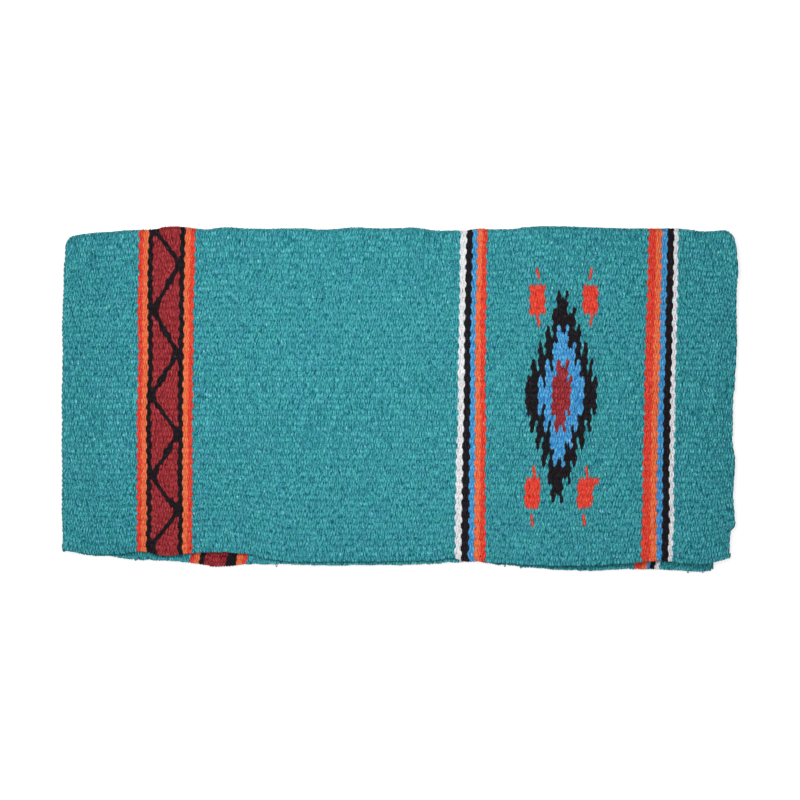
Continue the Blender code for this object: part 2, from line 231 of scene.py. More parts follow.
# The figures, in wefts and warp rows. A diamond is a run of columns on each hand, given by their tip
# and side. Each diamond has its first row, its number of columns and its own last column on the right.
MIDDLE_ROW = 28
TIP_STEP = 3
COLUMNS = {
    -1: [(3, 4), (6, 7), (11, 12), (16, 17), (21, 22), (24, 26)],
    1: [(3, 3), (8, 8), (11, 12), (16, 17), (21, 21)],
}
DIAMONDS = [("black", 10, 6, (24, 25)), ("blue", 16, 4, (14, 15)), ("maroon", 22, 2, (6, 6))]
MOTIFS = {"far_left": (-18, -1), "far_right": (21, -1), "near_left": (-17, 1), "near_right": (21, 1)}
MOTIF_WEFTS = (-6, 4)
MOTIF_ROWS = (9, 13)
TINE_WEFTS = (-1, 0)
TINE_ROWS = [(6, 7), (14, 15)]
EAR_WEFTS = (5, 7)
# The zigzag's places along the warps are for a band of this many wefts
BAND_WEFTS = 20
ZIGZAG_ROWS = [-2, 5, 13, 20, 28, 35, 43, 49, 56]
ZIGZAG_WEFTS = (-0.3, 19.3)
ZIGZAG_TURNS = (0.8, 18.2)
ZIGZAG_HALF_WEFTS = 2.3
SLANT_REACH = 3.5
TINE_SLANT = 0.25
TIP_WIDTH = 1.7
TIP_TAPER = 0.8
NOTCH_JOG = 0.45
# A figure's edge floats, the ones that slant, are this many rows deep
EDGE_ROWS = 2
# A row beyond every layer, for the wefts that a diamond doesn't reach
NO_ROW = 999
# How far into its field the diamond's middle lies, in metres
DIAMOND_PLACE = 0.0929

# Wefts pulled out at the second layer's near edge: where along x, and how far
PULLED_YARNS = [
    (-0.326, 0.0016), (-0.150, 0.0036), (0.135, 0.0030), (0.157, 0.0018), (0.3600, 0.0028),
    (0.3790, 0.0018),
]
PULLED_YARN_RADIUS = 0.00055
PULLED_YARN_HALF_GAP = 0.0009
PULLED_YARN_ROOT = 0.001

# How much the floats differ from each other, as shares of their own width, height, row and pitch
WIDTH_SPREAD = 0.07
HEIGHT_SPREAD = 0.10
JOG_SPREAD = 0.07
SLIP_SPREAD = 0.11
SKEW_SPREAD = 0.26
TINT_SPREAD = 0.95
PICK_TINT_SPREAD = 0.2
# Each weft's own tint, by its number
PICK_TINT = np.random.default_rng(11).normal(size=4096)
PICK_TINT_START = 1024
PALE_SHARE = 0.05
PALE_STRENGTH = (0.6, 1.0)

# A float's section goes round to this many degrees on each hand
DOME_ANGLE = 98
TOP_AROUND = 5
HIDDEN_AROUND = 4
# Wefts at the woven end, and rows at the selvedge, whose far side is woven too
BACK_PICKS = 8
BACK_ROWS = 3
# How far from the front's their part of the chart lies, in wefts and rows
CHART_BESIDE = 10
CHART_BELOW = 8
CHART_FILL = 0.97
# The yarn chart: its units for a metre along the yarn, and the share of a unit round it
YARN_UNITS = 100
YARN_ROUND = 0.9
# A piece has no more wefts than this, for the shape of its chart
MOST_PICKS = 66


def smooth_step(value, low, high):
    """0 below low, 1 above high, smooth between."""
    t = np.clip((value - low) / (high - low), 0, 1)
    return t * t * (3 - 2 * t)


def curve_through(points, x):
    """The height of a smooth curve through points in millimetres, read at x in metres."""
    xs = np.array([p[0] for p in points]) / 1000
    ys = np.array([p[1] for p in points]) / 1000
    slopes = np.gradient(ys, xs)
    i = np.clip(np.searchsorted(xs, x) - 1, 0, len(xs) - 2)
    width = xs[i + 1] - xs[i]
    t = np.clip((x - xs[i]) / width, 0, 1)
    rise = (2 * t**3 - 3 * t**2 + 1) * ys[i] + (3 * t**2 - 2 * t**3) * ys[i + 1]
    return rise + width * ((t**3 - 2 * t**2 + t) * slopes[i] + (t**3 - t**2) * slopes[i + 1])


class Waves:
    """Smooth noise over the plan: a grid of random heights, read with smooth blending."""

    def __init__(self, cell_x, cell_y, seed, size):
        self.cell_x = cell_x
        self.cell_y = cell_y
        self.size = size
        wide = int(1.0 / cell_x) + 4
        high = int(0.6 / cell_y) + 4
        self.heights = np.random.default_rng(seed).normal(size=(wide, high))

    def __call__(self, x, y):
        a = (x + 0.5) / self.cell_x
        b = (y + 0.3) / self.cell_y
        i = np.clip(a.astype(int), 0, self.heights.shape[0] - 2)
        j = np.clip(b.astype(int), 0, self.heights.shape[1] - 2)
        s = smooth_step(a - i, 0, 1)
        t = smooth_step(b - j, 0, 1)
        h = self.heights
        low = h[i, j] * (1 - s) + h[i + 1, j] * s
        high = h[i, j + 1] * (1 - s) + h[i + 1, j + 1] * s
        return self.size * (low * (1 - t) + high * t)


STRIPE_WANDER = Waves(0.010, 0.030, 5, 0.00034)
SLOW_WANDER = Waves(0.060, 0.070, 6, 0.00040)
LAYER_RISE = Waves(0.075, 0.060, 7, 0.00022)
EDGE_RIPPLE = Waves(0.006, 0.5, 8, 0.0005)
ROW_WANDER = Waves(0.020, 0.022, 9, 0.00042)


def soft_form(x, y, size, range_x, range_y):
    """A form that sets in over a range of x and a range of -y."""
    return size * smooth_step(x, *range_x) * smooth_step(-y, *range_y)


def stripe_lean(x, y, side, inner):
    """How far the stripes lean and the first fold's corners move, along x."""
    distance = np.clip(x - LEFT_X, 0, LEANS[-1][0])
    far, middle, near = (
        np.interp(distance, [p[0] for p in LEANS], [p[k] for p in LEANS]) for k in (1, 2, 3)
    )
    across = np.clip(y / LEAN_HALF_WIDTH, -1.05, 1.1)
    lean = middle + (far - near) / 2 * across + ((far + near) / 2 - middle) * across**2
    lean = lean * (1 - INNER_LEAN_LOSS * inner * smooth_step(x, *INNER_LEAN_X))
    if side == "lower":
        lean = LOWER_LEAN_SHARE * lean
    fold_edge = 1 - smooth_step(x, *FOLD_EDGE_X)
    lean = lean + FOLD_FAR_CORNER * fold_edge * smooth_step(y, *FOLD_FAR_CORNER_Y)
    from_corner = (y - FOLD_NEAR_CORNER_Y) / FOLD_NEAR_CORNER_SIZE
    return lean - FOLD_NEAR_CORNER * fold_edge * np.exp(-(from_corner**2))


def edge_shifts(x, side, inner):
    """How far the far edge and the near edge lie from their places in the flat fold, along y."""
    far_shift = curve_through(FAR_EDGE, x) + FAR_SHOW - (AXIS_Y + OUTER_RADIUS + LAYER_HALF)
    into_corner = np.clip(x - (RIGHT_X - CORNER_RADIUS), 0, CORNER_RADIUS)
    corner = CORNER_RADIUS - np.sqrt(CORNER_RADIUS**2 - into_corner**2)
    far_shift = far_shift - corner * (1 - inner)
    outer_edge, inner_edge = (
        AXIS_Y - (ROWS[LAYERS[side, half]] + 0.5) * ROW - SELVEDGE_REACH for half in (0, 1)
    )
    second_edge = curve_through(SECOND_NEAR_EDGE, x)
    outer_shift = curve_through(TOP_NEAR_EDGE, x) - outer_edge - NEAR_SHOW
    inner_shift = second_edge - inner_edge - NEAR_SHOW
    if side == "lower":
        hidden_edge = second_edge + END_INSET * smooth_step(x, *END_INSET_X)
        behind_top = outer_shift * 0.5 + BOTTOM_INSET
        outer_shift = np.maximum(behind_top, hidden_edge + BOTTOM_INSET - outer_edge)
        inner_shift = inner_shift + THIRD_INSET
    near_shift = outer_shift * (1 - inner) + inner_shift * inner
    return far_shift, near_shift + EDGE_RIPPLE(x + 0.21 * inner, x * 0)


def height_shift(x, y, inner):
    """How the upper two layers ripple, sag and lift."""
    ripple = LAYER_RISE(x, y) * smooth_step(-y, *RIPPLE_Y)
    lift = soft_form(x, y, *LIFT)
    outer_rise = ripple + lift - soft_form(x, y, *SAG) - soft_form(x, y, *CREASE)
    droop = RIGHT_DROOP * smooth_step(x, *RIGHT_DROOP_X) + LEFT_DROOP * smooth_step(-x, *LEFT_DROOP_X)
    droop = droop * smooth_step(-y, *DROOP_Y) * inner
    return outer_rise * (1 - inner) + (ripple * INNER_RIPPLE_SHARE - droop) * inner


def displaced(x, y, z, side, inner):
    """Moves points from the flat fold to where the photo has them.

    inner goes from 0 on the outer half to 1 on the inner half.
    """
    shift_x = stripe_lean(x, y, side, inner) + STRIPE_WANDER(x, y) + SLOW_WANDER(x, y)
    shift_x = shift_x + smooth_step(x, *END_X) * curve_through(END_WANDER, y) * (1 - inner)
    shift_x = shift_x - soft_form(x, y, *NEAR_CORNER) - inner * soft_form(x, y, *INNER_NEAR_CORNER)
    far_shift, near_shift = edge_shifts(x, side, inner)
    far_share = smooth_step(y, *FAR_REACH)
    near_share = smooth_step(-y, *NEAR_REACH)
    shift_y = far_shift * far_share + near_shift * near_share + ROW_WANDER(x, y)
    if side == "upper":
        z = z + height_shift(x, y, inner)
    return x + shift_x, y + shift_y, z


PICK_FIELDS = ("x", "radius", "face_x", "face_r", "pitch", "number", "inner")


class Picks:
    """Arrays with one number for each weft, in order along the warps.

    A weft lies at x, at a radius from the second fold's axis, and faces along face_x and face_r.
    number is its place in the weave, and inner goes from 0, outer half, to 1, inner half.
    """

    def __init__(self, *arrays):
        for field, array in zip(PICK_FIELDS, arrays, strict=True):
            setattr(self, field, array)

    def part(self, chosen):
        """The chosen wefts alone, or all of them in a new order."""
        return Picks(*(getattr(self, field)[chosen] for field in PICK_FIELDS))

    def __len__(self):
        return len(self.x)


def picks_between(start, end, first_number, inner):
    """Evenly packed wefts over one area of a half."""
    length = end - start
    count = round(length / (STRIPE_PITCH if length < STRIPE_LENGTH else PITCH))
    pitch = length / count
    distance = start + (np.arange(count) + 0.5) * pitch
    ones = np.ones(count)
    radius, outward = (INNER_RADIUS, -1) if inner else (OUTER_RADIUS, 1)
    return Picks(
        LEFT_X + distance,
        radius * ones,
        0 * ones,
        outward * ones,
        pitch * ones,
        first_number + np.arange(count) * outward,
        int(inner) * ones,
    )


def half_areas(inner):
    """The areas of one half as (name, colour, picks).

    The wefts are numbered on from the first fold, so they alternate across areas too.
    """
    start = FIRST_FOLD_CENTRE - LEFT_X
    number = -FIRST_FOLD_PICKS - 1 if inner else 0
    areas = []
    for k, (name, colour, end) in enumerate(OUTER_AREAS):
        if inner:
            length = end - (OUTER_AREAS[k - 1][2] if k else 0)
            start = INNER_STARTS.get(name, start)
            following = OUTER_AREAS[k + 1][0] if k + 1 < len(OUTER_AREAS) else None
            end = INNER_STARTS.get(following, start + length if following else INNER_END)
        picks = picks_between(start, end, number, inner)
        number += len(picks) * (-1 if inner else 1)
        areas.append((name, colour, picks))
        start = end
    return areas


def first_fold_picks():
    """The wefts round the first fold, from the outer half to the inner half."""
    turn = (np.arange(FIRST_FOLD_PICKS) + 0.5) / FIRST_FOLD_PICKS * math.pi
    middle = (OUTER_RADIUS + INNER_RADIUS) / 2
    pitch = math.pi * (INNER_RADIUS + LAYER_HALF) / FIRST_FOLD_PICKS
    return Picks(
        FIRST_FOLD_CENTRE - INNER_RADIUS * np.sin(turn),
        middle + INNER_RADIUS * np.cos(turn),
        -np.sin(turn),
        np.cos(turn),
        pitch * np.ones(FIRST_FOLD_PICKS),
        -1 - np.arange(FIRST_FOLD_PICKS),
        (1 - np.cos(turn)) / 2,
    )


# A float's shape is a row of stations along the yarn, each with its place along the weft, its height,
# the way it faces and its size
def plain_float(stations, reach=0.95):
    """A weft passing over one warp: wide and high over it, narrow where it dips on either hand."""
    along = np.linspace(-reach, reach, stations)
    rise = np.cos(math.pi * along)
    return {
        "along": along,
        "out": WAVE * rise,
        "tilt": 0.35 * np.sin(math.pi * along),
        "wide": 0.74 + np.where(rise > 0, 0.32, 0.12) * rise,
        "high": YARN_RISE * (0.86 + 0.14 * rise),
        "drift": 0 * along,
        # The crest value paints shade: the yarn is drawn lighter on its top and darker where it dips
        # between rows.
        "crest": rise,
    }


def edge_float():
    """A weft that passes over the last warp, turns round it and comes back as the next weft."""
    angles = np.radians([90, 55, 18, -18, -55, -90])
    reach = np.array([-0.64, -0.32])
    flat = 0 * reach
    rise = np.cos(math.pi * reach)
    wide = np.array([0.40, 0.82, 1.03, 1.0, 1.0, 1.0, 1.0, 1.03, 0.82, 0.40])
    drift = np.array([0, 0, 0.1, 0.3, 0.45, 0.55, 0.7, 0.9, 1, 1])
    return {
        "along": np.concatenate([reach, 0 * angles, reach[::-1]]),
        "extra": np.concatenate([flat, WAVE * np.cos(angles), flat]),
        "out": WAVE * np.concatenate([rise, np.sin(angles), -rise[::-1]]),
        "tilt": np.concatenate([flat, np.cos(angles), flat]),
        "face": np.concatenate([flat + 1, np.sin(angles), flat - 1]),
        "wide": wide,
        "high": YARN_RISE * (0.9 + 0 * wide),
        "drift": drift,
        "crest": 0.5 + 0 * drift,
    }


def quads_of(index):
    """The corners of each face of a grid, from its vertex numbers. The grid is the last two axes."""
    corners = (index[..., :-1, :-1], index[..., :-1, 1:], index[..., 1:, 1:], index[..., 1:, :-1])
    return np.stack(corners, axis=-1).reshape(-1, 4)


def new_object(name, data):
    """A new object in the scene, from a mesh, a light or a camera."""
    made = bpy.data.objects.new(name, data)
    bpy.context.scene.collection.objects.link(made)
    return made


class Cloth:
    """Collects the floats of one piece, and makes its mesh."""

    def __init__(self):
        self.points = []
        self.faces = []
        self.yarn = []
        self.chart = []
        self.shades = {"tint": [], "crest": [], "fleck": []}
        self.colours = []
        self.count = 0

    def add(self, points, yarn, chart, shades, colour):
        """Adds floats of one colour.

        points has the axes float, station, around and xyz. yarn and chart have two coordinates for
        each point, and the shades have one number.
        """
        index = np.arange(points[..., 0].size).reshape(points.shape[:3]) + self.count
        faces = quads_of(index)
        self.points.append(points.reshape(-1, 3))
        self.faces.append(faces)
        self.yarn.append(yarn.reshape(-1, 2))
        self.chart.append(chart.reshape(-1, 2))
        for label, values in shades.items():
            self.shades[label].append(np.broadcast_to(values, points.shape[:3]).reshape(-1))
        self.colours.append(np.full(len(faces), colour))
        self.count += index.size

    def make(self, name, materials):
        """The mesh object of everything added, with its charts, shades and materials."""
        runs = (self.points, self.faces, self.yarn, self.chart, self.colours)
        points, faces, yarn, chart, colours = (np.concatenate(run) for run in runs)
        mesh = bpy.data.meshes.new(name)
        mesh.vertices.add(len(points))
        mesh.vertices.foreach_set("co", points.astype(np.float32).ravel())
        mesh.loops.add(faces.size)
        mesh.loops.foreach_set("vertex_index", faces.astype(np.int32).ravel())
        mesh.polygons.add(len(faces))
        mesh.polygons.foreach_set("loop_start", np.arange(len(faces), dtype=np.int32) * 4)
        mesh.polygons.foreach_set("use_smooth", np.ones(len(faces), dtype=bool))
        used = sorted(set(colours.tolist()))
        for k in used:
            mesh.materials.append(materials[COLOURS[k]])
        slots = np.searchsorted(used, colours)
        mesh.polygons.foreach_set("material_index", slots.astype(np.int32))
        mesh.update(calc_edges=True)
        corner = faces.ravel()
        low = chart.min(axis=0)
        size = chart.max(axis=0) - low
        spread = 0.01 + 0.98 * (chart - low) / size
        for label, values in (("yarn", yarn), ("OFBake", spread)):
            layer = mesh.uv_layers.new(name=label)
            layer.data.foreach_set("uv", values[corner].astype(np.float32).ravel())
        for label, values in self.shades.items():
            attribute = mesh.attributes.new(label, "FLOAT", "POINT")
            attribute.data.foreach_set("value", np.concatenate(values).astype(np.float32))
        mesh.validate()
        return new_object(name, mesh)


def placed(q, out, sideways, picks, i, side, bend_rows):
    """Points on the displaced cloth, from their place beside the picks chosen by i.

    q counts rows from the second fold along the weft, out is the height off the cloth's middle, and
    sideways is the distance across the weft.
    """
    radius = picks.radius[i][:, None, None]
    face_x = picks.face_x[i][:, None, None]
    face_r = picks.face_r[i][:, None, None]
    turn = np.clip(-q / bend_rows, 0, 1) * math.pi
    down = np.where(q >= 0, q, np.where(q < -bend_rows, -q - bend_rows, 0)) * ROW
    from_axis = radius + out * face_r - sideways * face_x
    x = picks.x[i][:, None, None] + out * face_x + sideways * face_r
    y = AXIS_Y - down + from_axis * np.sin(turn)
    z = AXIS_Z + from_axis * np.cos(turn)
    inner = np.broadcast_to(picks.inner[i][:, None, None], x.shape)
    if side == "bend":
        above = displaced(x, y, z, "upper", inner)
        below = displaced(x, y, z, "lower", inner)
        share = smooth_step(z, *BEND_BLEND_Z)
        return np.stack([b + (a - b) * share for a, b in zip(above, below, strict=True)], axis=-1)
    return np.stack(displaced(x, y, z, side, inner), axis=-1)


def add_floats(cloth, picks, rows, which, side, colour, bend_rows, shape, around, back=None, looks=None):
    """Adds the floats of these picks over these rows. which marks the (pick, row) pairs to add.

    back is for floats on the far side of the cloth: how far from the front's their chart lies.
    looks holds how much each float slants, widens, moves along the weft and tapers.
    """
    i, k = np.nonzero(which)
    if len(i) == 0:
        return
    row = rows[k]
    downward = np.where(row < -bend_rows, -1.0, 1.0)[:, None, None]
    random = np.random.default_rng(int(picks.number[0]) * 7919 % 65521 + int(row[0]) + 777)
    swell = 1 + WIDTH_SPREAD * random.normal(size=len(i))
    lift = 1 + HEIGHT_SPREAD * random.normal(size=len(i))
    jog = JOG_SPREAD * random.normal(size=len(i))
    slip = SLIP_SPREAD * random.normal(size=len(i))
    skew = SKEW_SPREAD * random.normal(size=len(i))
    pick_tint = PICK_TINT[(picks.number[i] + PICK_TINT_START) % len(PICK_TINT)]
    tint = TINT_SPREAD * random.normal(size=len(i)) + PICK_TINT_SPREAD * pick_tint
    is_pale = random.random(len(i)) < PALE_SHARE
    pale = np.where(is_pale, random.uniform(*PALE_STRENGTH, len(i)), 0)
    taper = 0 * swell
    if looks is not None:
        slants, widths, jogs, tapers = looks
        swell = swell * widths[i, k]
        skew = skew + slants[i, k] * picks.face_r[i]
        jog = jog + jogs[i, k] * downward[:, 0, 0]
        taper = tapers[i, k]
    angle = np.radians(np.linspace(-DOME_ANGLE, DOME_ANGLE, around))[None, None, :]
    stations = len(shape["along"])
    keys = ("along", "out", "tilt", "wide", "high", "drift", "crest")
    along, out, tilt, shape_wide, shape_high, drift, crest = (shape[key][None, :, None] for key in keys)
    is_edge = "extra" in shape
    extra = shape["extra"][None, :, None] if is_edge else 0
    face = shape["face"][None, :, None] if is_edge else 1
    high = shape_high * lift[:, None, None] * np.cos(angle)
    pitch = picks.pitch[i][:, None, None]
    wide = shape_wide * swell[:, None, None] * pitch * (1 + taper[:, None, None] * along)
    slant = slip[:, None, None] + skew[:, None, None] * along
    sideways = wide * np.sin(angle) + pitch * (drift + slant)
    up = -1 if back else 1
    out = up * (out + face * high)
    centre = row[:, None, None] + 0.5 + (0 if is_edge else jog[:, None, None])
    q = centre + downward * (along + (extra + tilt * high) / ROW)
    points = placed(q, out, sideways, picks, i, side, bend_rows)
    if back:
        points = points[:, :, ::-1]
    number = picks.number[i][:, None, None]
    yarn_u = (centre + along) * ROW * YARN_UNITS
    yarn_v = number + np.linspace(0, YARN_ROUND, around)
    yarn = np.stack(np.broadcast_arrays(yarn_u, yarn_v), axis=-1)
    steps = np.abs(np.diff(shape["along"]))
    if is_edge:
        steps = steps + np.hypot(np.diff(shape["extra"]), np.diff(shape["out"])) / ROW
    chart_u = number + np.sin(angle) * shape_wide * CHART_FILL
    chart_v = centre + np.cumsum(np.r_[0, steps])[None, :, None] * downward
    if back:
        chart_u = chart_u + back[0]
        chart_v = chart_v + back[1]
    chart = np.stack(np.broadcast_arrays(chart_u, chart_v), axis=-1)
    fleck = np.zeros((len(i), stations, around))
    pale_station = stations // 2 + random.integers(-1, 2, len(i))
    fleck[np.arange(len(i)), pale_station, random.integers(1, around - 1, len(i))] = pale
    shades = {"tint": tint[:, None, None], "crest": crest, "fleck": fleck}
    cloth.add(points, yarn, chart, shades, COLOURS.index(colour))


def add_pulled_yarn(cloth, picks, place, reach):
    """A weft pulled out at the second layer's near edge: a small loop of yarn in the cloth's plane."""
    pick = np.array([np.argmin(abs(picks.x - place))])
    around = np.linspace(0, 2 * math.pi, 7)[None, None, :]
    turn = np.linspace(0, math.pi, 9)[None, :, None]
    edge = ROWS["second"] + 0.5
    across = PULLED_YARN_RADIUS * np.cos(around)
    q = edge + (SELVEDGE_REACH - PULLED_YARN_ROOT + (reach + across) * np.sin(turn)) / ROW
    sideways = (PULLED_YARN_HALF_GAP + across) * -np.cos(turn)
    out = PULLED_YARN_RADIUS * np.sin(around) + 0 * turn
    points = placed(q, out, sideways, picks, pick, "upper", INNER_BEND_ROWS)[:, :, ::-1]
    number = picks.number[pick][:, None, None]
    along = turn + 0 * around
    yarn = np.stack([along * 0.2, number + 0.1 * around + 0 * turn], axis=-1)
    chart = np.stack([number + 0.4 * along, edge + 12 + 0.3 * around + 0 * turn], axis=-1)
    cloth.add(points, yarn, chart, {"tint": -1.0, "crest": 0.0, "fleck": 0.0}, COLOURS.index("teal"))


def first_rows(offset, first_row, columns, last_right):
    """The first row that a serrated diamond covers in each weft, and which wefts are its tips."""
    rows = np.full(len(offset), NO_ROW)
    is_tip = np.zeros(len(offset), dtype=bool)
    for hand, run in COLUMNS.items():
        outward = hand * offset
        wall = -1
        on_hand = run[:columns] if hand < 0 else [*run[: columns - 1], last_right]
        for column, (tip, side) in enumerate(on_hand):
            top = first_row + TIP_STEP * column
            rows[(outward > wall) & (outward <= side)] = top + 1
            if column and tip - wall > 3:
                rows[outward == wall + 1] = top + 2
            rows[outward == tip] = top
            is_tip[outward == tip] = True
            wall = side
    return rows, is_tip


def zigzag_line(depth, count, mirrored):
    """Where the zigzag is in each row, and how far it moves to the next row, in wefts."""
    turns = [ZIGZAG_WEFTS[(k + mirrored) % 2] for k in range(len(ZIGZAG_ROWS))]
    line = np.clip(np.interp(depth, ZIGZAG_ROWS, turns), *ZIGZAG_TURNS) * count / BAND_WEFTS
    ahead = np.interp(depth + 0.5, ZIGZAG_ROWS, turns) - np.interp(depth - 0.5, ZIGZAG_ROWS, turns)
    return line, ahead * count / BAND_WEFTS


def within(values, ends):
    """Which values lie between two ends, or on them."""
    return (values >= ends[0]) & (values <= ends[1])


def mark_motifs(found, offset, depth):
    """Names the motifs in an array of figures, from each weft's offset and each row's depth."""
    for place, (middle, end) in MOTIFS.items():
        across = (offset - middle)[:, None]
        from_far = (depth if end < 0 else 2 * MIDDLE_ROW - depth)[None, :]
        motif = within(across, MOTIF_WEFTS) & within(from_far, MOTIF_ROWS)
        for tine in TINE_ROWS:
            motif |= within(across, TINE_WEFTS) & within(from_far, tine)
        if place == "near_right":
            motif |= within(across, EAR_WEFTS) & (from_far == MOTIF_ROWS[1])
        found[motif] = "motif_" + place


def figures_in(name, picks, rows, depth, mirrored):
    """The name of the figure at each weft and row, then the looks that add_floats takes."""
    shape = (len(picks), len(depth))
    found = np.full(shape, "", dtype=object)
    slants, jogs, tapers = np.zeros((3, *shape))
    widths = np.ones(shape)
    order = np.arange(len(picks))
    if name == "band_maroon":
        line, slope = zigzag_line(depth, len(picks), mirrored)
        from_line = order[:, None] - line[None, :]
        found[...] = np.where(from_line > 0, "band_maroon_outer", "band_maroon_inner")
        found[np.abs(from_line) < ZIGZAG_HALF_WEFTS] = "zigzag"
        slants = slope[None, :] * np.exp(-((from_line / SLANT_REACH) ** 2))
    if name == "diamond_field" and depth.max() > MIDDLE_ROW:
        centre = round(DIAMOND_PLACE / picks.pitch[0])
        tip_row = rows[np.nonzero(depth == DIAMONDS[0][1])[0][0]]
        centre += (picks.number[centre + COLUMNS[1][0][0]] + tip_row) % 2
        offset = order - centre
        into = np.sign(MIDDLE_ROW - depth)[None, :]
        outward = np.sign(offset)[:, None] * into
        for colour, first_row, *columns in DIAMONDS:
            top, is_tip = first_rows(offset, first_row, *columns)
            top = top[:, None]
            last = 2 * MIDDLE_ROW - top
            past_edge = np.minimum(abs(depth - top - 0.5), abs(last + 0.5 - depth))
            slants = np.where(past_edge < EDGE_ROWS, -TINE_SLANT * outward, slants)
            tip_floats = is_tip[:, None] & (past_edge < 1)
            widths = np.where(tip_floats, TIP_WIDTH, widths)
            tapers = np.where(tip_floats, TIP_TAPER * into, tapers)
            jogs = np.where((offset == 0)[:, None] & (past_edge < 1), NOTCH_JOG * into, jogs)
            found[(depth[None, :] >= top) & (depth[None, :] <= last)] = "diamond_" + colour
        mark_motifs(found, offset, depth)
    return found, slants, widths, jogs, tapers


# The figures' colours, where they aren't their area's
FIGURE_COLOURS = {
    "zigzag": "black",
    **{"diamond_" + colour: colour for colour, *_ in DIAMONDS},
    **{"motif_" + place: "red" for place in MOTIFS},
}
GROUPS = {"band": "band", "middle": "middle_stripes", "end_stripe": "end_stripes"}


def group_of(name):
    """The hidden layers and the second fold keep the colour areas in groups."""
    for start, group in GROUPS.items():
        if name.startswith(start):
            return group
    return name


cloths = defaultdict(Cloth)
FINE = plain_float(9)
COARSE = plain_float(7)
EDGE = edge_float()


def part_ends(picks):
    """Where an area's pieces begin and end, in wefts."""
    parts = math.ceil(len(picks) / MOST_PICKS)
    return [len(picks) * part // parts for part in range(parts + 1)]


def piece_for(name, layer, inner):
    """The CAD piece that an area's floats belong to on a layer."""
    if layer == "wrap":
        return "inner_wrap" if inner else "wrap_" + group_of(name)
    if name == "fold_field":
        return "upper_fold_field" if layer in ("top", "second") else "lower_fold_field"
    if layer == "top":
        return "top_" + name
    return layer + "_" + group_of(name)


def weave_area(name, colour, picks, side, inner, is_last):
    """Adds one area's floats on one side of the second fold: upper, lower or bend."""
    bend_rows = INNER_BEND_ROWS if inner else OUTER_BEND_ROWS
    is_bend = side == "bend"
    layer = "wrap" if is_bend else LAYERS[side, inner]
    if is_bend:
        rows = np.arange(-bend_rows, 0)
        depth = np.maximum(rows, -bend_rows - 1 - rows)
    else:
        depth = np.arange(0, ROWS[layer] + 1)
        rows = depth if side == "upper" else -bend_rows - 1 - depth
    from_edge = np.arange(len(rows))[::-1]
    at_edge = (from_edge == 0) & (not is_bend)
    near_edge = within(from_edge, (1, BACK_ROWS)) & (not is_bend)
    order = np.arange(len(picks))[:, None]
    at_end = (order >= len(picks) - BACK_PICKS) & is_last
    over = (picks.number[:, None] + rows[None, :]) % 2 == 0
    under = ~over & ~at_edge
    shape, around = (FINE, TOP_AROUND) if layer == "top" else (COARSE, HIDDEN_AROUND)
    figures, *looks = figures_in(name, picks, rows, depth, inner)
    beside = (-CHART_BESIDE if inner else CHART_BESIDE, 0)
    below = (0, CHART_BELOW if side == "upper" else -CHART_BELOW)
    kinds = [
        (over & at_edge, EDGE, around, None, None),
        (over & ~at_edge, shape, around, None, looks),
        (under & at_end, COARSE, HIDDEN_AROUND, beside, None),
        (under & ~at_end & near_edge, COARSE, HIDDEN_AROUND, below, None),
    ]
    base = piece_for(name, layer, inner)
    ends = [0, len(picks)] if is_bend else part_ends(picks)
    for part, (first, stop) in enumerate(zip(ends[:-1], ends[1:], strict=True), 1):
        in_part = (order >= first) & (order < stop)
        for figure in sorted(set(figures[first:stop].ravel())):
            piece = base
            if figure and layer == "top":
                piece = "top_" + figure
            elif len(ends) > 2:
                piece = f"{base}_{part}"
            cloth = cloths[piece]
            shade = FIGURE_COLOURS.get(figure, colour)
            here = (figures == figure) & in_part
            for which, form, sides, back, look in kinds:
                add_floats(
                    cloth, picks, rows, which & here, side, shade, bend_rows, form, sides, back, look
                )


class Tree:
    """The node tree of a new material or world, with short ways to add to it."""

    def __init__(self, owner):
        owner.use_nodes = True
        self.nodes = owner.node_tree.nodes
        self.links = owner.node_tree.links

    def fill(self, node, inputs):
        """Fills a node's inputs: an output is linked, and anything else is the input's own value."""
        for key, value in inputs.items():
            if isinstance(value, bpy.types.NodeSocket):
                self.links.new(value, node.inputs[key])
            else:
                node.inputs[key].default_value = value

    def add(self, kind, inputs=None, **settings):
        """A new node with these inputs and settings."""
        node = self.nodes.new("ShaderNode" + kind)
        for key, value in settings.items():
            setattr(node, key, value)
        self.fill(node, inputs or {})
        return node

    def maths(self, operation, *values):
        """The result of one operation on outputs and numbers."""
        return self.add("Math", dict(enumerate(values)), operation=operation).outputs[0]

    def swing(self, base, value, amount):
        """base, moved up and down as a value goes above and below one half."""
        return self.maths("MULTIPLY_ADD", self.maths("SUBTRACT", value, 0.5), amount, base)

    def noise(self, place, scale, detail, roughness=0.6):
        """Smooth noise about one half, over these coordinates."""
        inputs = {"Vector": place, "Scale": scale, "Detail": detail, "Roughness": roughness}
        return self.add("TexNoise", inputs).outputs["Fac"]

    def attribute(self, label, output="Fac"):
        """One of the mesh's own attributes."""
        return self.add("Attribute", attribute_name=label).outputs[output]


STREAK_STRETCH = (1.5, 6.6, 1.0)
TWIST_TURNS = (8.0, 9.0, 0.0)
WARP_STRETCH = (120, 900, 900)


